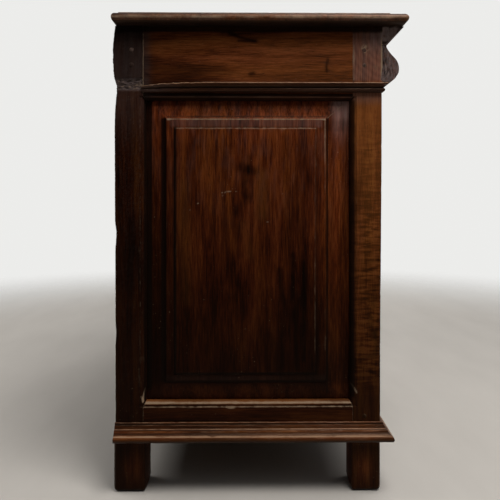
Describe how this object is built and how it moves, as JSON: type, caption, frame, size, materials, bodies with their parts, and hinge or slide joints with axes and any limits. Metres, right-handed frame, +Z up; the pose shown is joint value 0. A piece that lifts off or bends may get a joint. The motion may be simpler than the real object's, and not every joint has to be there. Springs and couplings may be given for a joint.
{
  "type": "sideboard",
  "caption": "Free-standing framed and panelled walnut sideboard with ogee-fronted drawers over hinged cupboard doors, moulded top, waist and base, on block feet.",
  "frame": {"origin": "on the floor under the middle of the bounding box", "axes": "+X along the length, the front faces -Y, +Z up; the end in the picture is the -X end"},
  "size_m": [1.35, 0.56, 0.9],
  "materials": {
    "carcase_wood": "old walnut, dark stain, worn wax polish",
    "frieze_wood": "walnut, warm brown, worn wax polish",
    "panel_wood": "walnut, red brown, worn wax polish",
    "moulding_wood": "walnut, dark stain, edges worn pale",
    "top_wood": "walnut, dark stain, waxed",
    "door_wood": "walnut, dark stain, worn wax polish",
    "knob_wood": "turned walnut, polished by use",
    "peg_wood": "cleft oak, dark",
    "back_wood": "rough sawn softwood, aged and dusty",
    "inner_wood": "unpolished oak, aged",
    "iron": "wrought iron, dark, lightly rusted",
    "brass": "old brass, dull"
  },
  "bodies": {
    "carcase": {"front_left_post": "carcase_wood", "front_right_post": "carcase_wood", "back_left_post": "carcase_wood", "back_right_post": "carcase_wood", "left_lower_rail": "carcase_wood", "right_lower_rail": "carcase_wood", "front_top_rail": "carcase_wood", "drawer_rail": "carcase_wood", "front_bottom_rail": "carcase_wood", "drawer_divider": "carcase_wood", "centre_muntin": "carcase_wood", "left_upper_rail": "frieze_wood", "right_upper_rail": "frieze_wood", "left_end_panel": "panel_wood", "right_end_panel": "panel_wood", "waist_moulding": "moulding_wood", "base_moulding": "moulding_wood", "cornice_moulding": "moulding_wood", "frieze_blocks": "moulding_wood", "top_board": "top_wood", "frame_pegs": "peg_wood", "back_boards": "back_wood", "back_rails": "back_wood", "floor_boards": "inner_wood", "shelf": "inner_wood", "bearers": "inner_wood", "drawer_runners": "inner_wood", "door_stops": "inner_wood", "back_nails": "iron", "hinge_post_halves": "iron"},
    "left_drawer": {"left_drawer_front": "moulding_wood", "left_drawer_sides": "inner_wood", "left_drawer_back": "inner_wood", "left_drawer_bottom": "inner_wood", "left_drawer_knob": "knob_wood"},
    "right_drawer": {"right_drawer_front": "moulding_wood", "right_drawer_sides": "inner_wood", "right_drawer_back": "inner_wood", "right_drawer_bottom": "inner_wood", "right_drawer_knob": "knob_wood"},
    "left_door": {"left_door_hinge_stile": "door_wood", "left_door_lock_stile": "door_wood", "left_door_top_rail": "door_wood", "left_door_bottom_rail": "door_wood", "left_door_panel": "panel_wood", "left_door_hinges": "iron", "left_door_lock": "iron", "left_key_plate": "brass"},
    "right_door": {"right_door_hinge_stile": "door_wood", "right_door_lock_stile": "door_wood", "right_door_top_rail": "door_wood", "right_door_bottom_rail": "door_wood", "right_door_panel": "panel_wood", "right_door_hinges": "iron", "right_door_lock": "iron", "right_key_plate": "brass"},
    "left_key": {"left_door_key": "iron"},
    "right_key": {"right_door_key": "iron"},
    "left_bolt": {"left_door_bolt": "iron"},
    "right_bolt": {"right_door_bolt": "iron"}
  },
  "joints": [
    {"name": "left_drawer_slide", "type": "slide", "parent": "carcase", "child": "left_drawer", "axis": [0, -1, 0], "range_m": [0, 0.3]},
    {"name": "right_drawer_slide", "type": "slide", "parent": "carcase", "child": "right_drawer", "axis": [0, -1, 0], "range_m": [0, 0.3]},
    {"name": "left_door_swing", "type": "hinge", "parent": "carcase", "child": "left_door", "pos_m": [-0.5835, -0.2245, 0.4425], "axis": [0, 0, -1], "range_deg": [0, 165]},
    {"name": "right_door_swing", "type": "hinge", "parent": "carcase", "child": "right_door", "pos_m": [0.5835, -0.2245, 0.4425], "axis": [0, 0, 1], "range_deg": [0, 165]},
    {"name": "left_key_turn", "type": "hinge", "parent": "left_door", "child": "left_key", "pos_m": [-0.07, -0.218, 0.436], "axis": [0, 1, 0], "range_deg": [0, 180]},
    {"name": "right_key_turn", "type": "hinge", "parent": "right_door", "child": "right_key", "pos_m": [0.07, -0.218, 0.436], "axis": [0, -1, 0], "range_deg": [0, 180]},
    {"name": "left_bolt_slide", "type": "slide", "parent": "left_door", "child": "left_bolt", "axis": [1, 0, 0], "range_m": [0, 0.01]},
    {"name": "right_bolt_slide", "type": "slide", "parent": "right_door", "child": "right_bolt", "axis": [-1, 0, 0], "range_m": [0, 0.01]}
  ],
  "couplings": [
    {"joint": "left_key_turn", "follows": "left_bolt_slide", "rad_per_m": 314.16},
    {"joint": "right_key_turn", "follows": "right_bolt_slide", "rad_per_m": 314.16}
  ]
}
